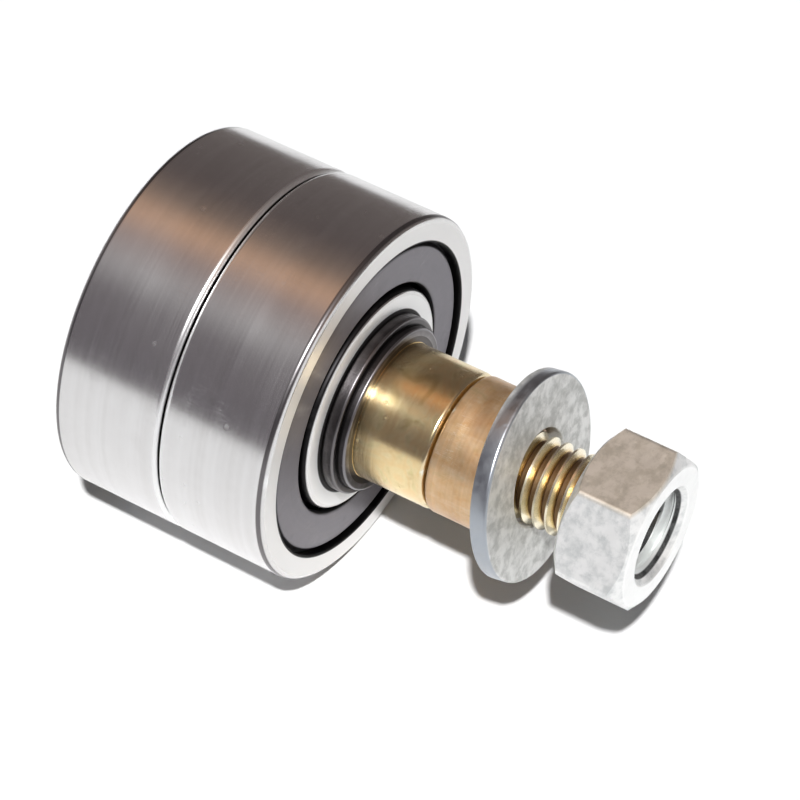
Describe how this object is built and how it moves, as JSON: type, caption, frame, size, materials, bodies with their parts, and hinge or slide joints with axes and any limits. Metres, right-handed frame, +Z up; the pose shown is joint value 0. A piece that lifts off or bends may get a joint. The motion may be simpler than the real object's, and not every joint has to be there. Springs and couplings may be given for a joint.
{
  "type": "roller wheel",
  "caption": "Stud-mounted roller wheel: shielded ball bearings side by side on a headed stud axle, with a retaining collar, spacer sleeve, flat washer and hex nut.",
  "frame": {"origin": "on the axle's centre line, in the plane between the two bearings", "axes": "Y along the axle, with the stud, washer and nut on the -Y side and the head on the +Y side; +Z up"},
  "size_m": [0.035, 0.0544, 0.035],
  "materials": {
    "bearing_steel": "ground and polished",
    "shield_steel": "satin pressed sheet",
    "cage_steel": "pressed sheet",
    "dark_steel": "dark oxide",
    "yellow_zinc": "yellow passivated zinc",
    "sleeve_zinc": "yellow passivated zinc",
    "washer_zinc": "clear passivated zinc",
    "nut_zinc": "clear passivated zinc"
  },
  "bodies": {
    "axle": {"axle": "yellow_zinc", "retaining_collar": "dark_steel", "spacer_sleeve": "sleeve_zinc", "front_inner_ring": "bearing_steel", "rear_inner_ring": "bearing_steel"},
    "front_roller": {"front_outer_ring": "bearing_steel", "front_outer_shield": "shield_steel", "front_inner_shield": "shield_steel"},
    "rear_roller": {"rear_outer_ring": "bearing_steel", "rear_outer_shield": "shield_steel", "rear_inner_shield": "shield_steel"},
    "front_cage": {"front_balls": "bearing_steel", "front_cage_outer_half": "cage_steel", "front_cage_inner_half": "cage_steel", "front_cage_rivets": "cage_steel"},
    "rear_cage": {"rear_balls": "bearing_steel", "rear_cage_outer_half": "cage_steel", "rear_cage_inner_half": "cage_steel", "rear_cage_rivets": "cage_steel"},
    "washer": {"flat_washer": "washer_zinc"},
    "nut": {"hex_nut": "nut_zinc"}
  },
  "joints": [
    {"name": "front_roller_spin", "type": "hinge", "parent": "axle", "child": "front_roller", "pos_m": [0, -0.0055, 0], "axis": [0, -1, 0], "continuous": true},
    {"name": "rear_roller_spin", "type": "hinge", "parent": "axle", "child": "rear_roller", "pos_m": [0, 0.0055, 0], "axis": [0, -1, 0], "continuous": true},
    {"name": "front_cage_spin", "type": "hinge", "parent": "axle", "child": "front_cage", "pos_m": [0, -0.0055, 0], "axis": [0, -1, 0], "continuous": true},
    {"name": "rear_cage_spin", "type": "hinge", "parent": "axle", "child": "rear_cage", "pos_m": [0, 0.0055, 0], "axis": [0, -1, 0], "continuous": true},
    {"name": "nut_travel", "type": "slide", "parent": "axle", "child": "washer", "axis": [0, -1, 0], "range_m": [0, 0.0151]},
    {"name": "nut_turn", "type": "hinge", "parent": "washer", "child": "nut", "pos_m": [0, -0.0369, 0], "axis": [0, -1, 0], "range_deg": [0, 4320]}
  ],
  "couplings": [
    {"joint": "front_cage_spin", "follows": "front_roller_spin", "ratio": 0.61906},
    {"joint": "rear_cage_spin", "follows": "rear_roller_spin", "ratio": 0.61906},
    {"joint": "nut_travel", "follows": "nut_turn", "m_per_rad": 0.00019894}
  ]
}
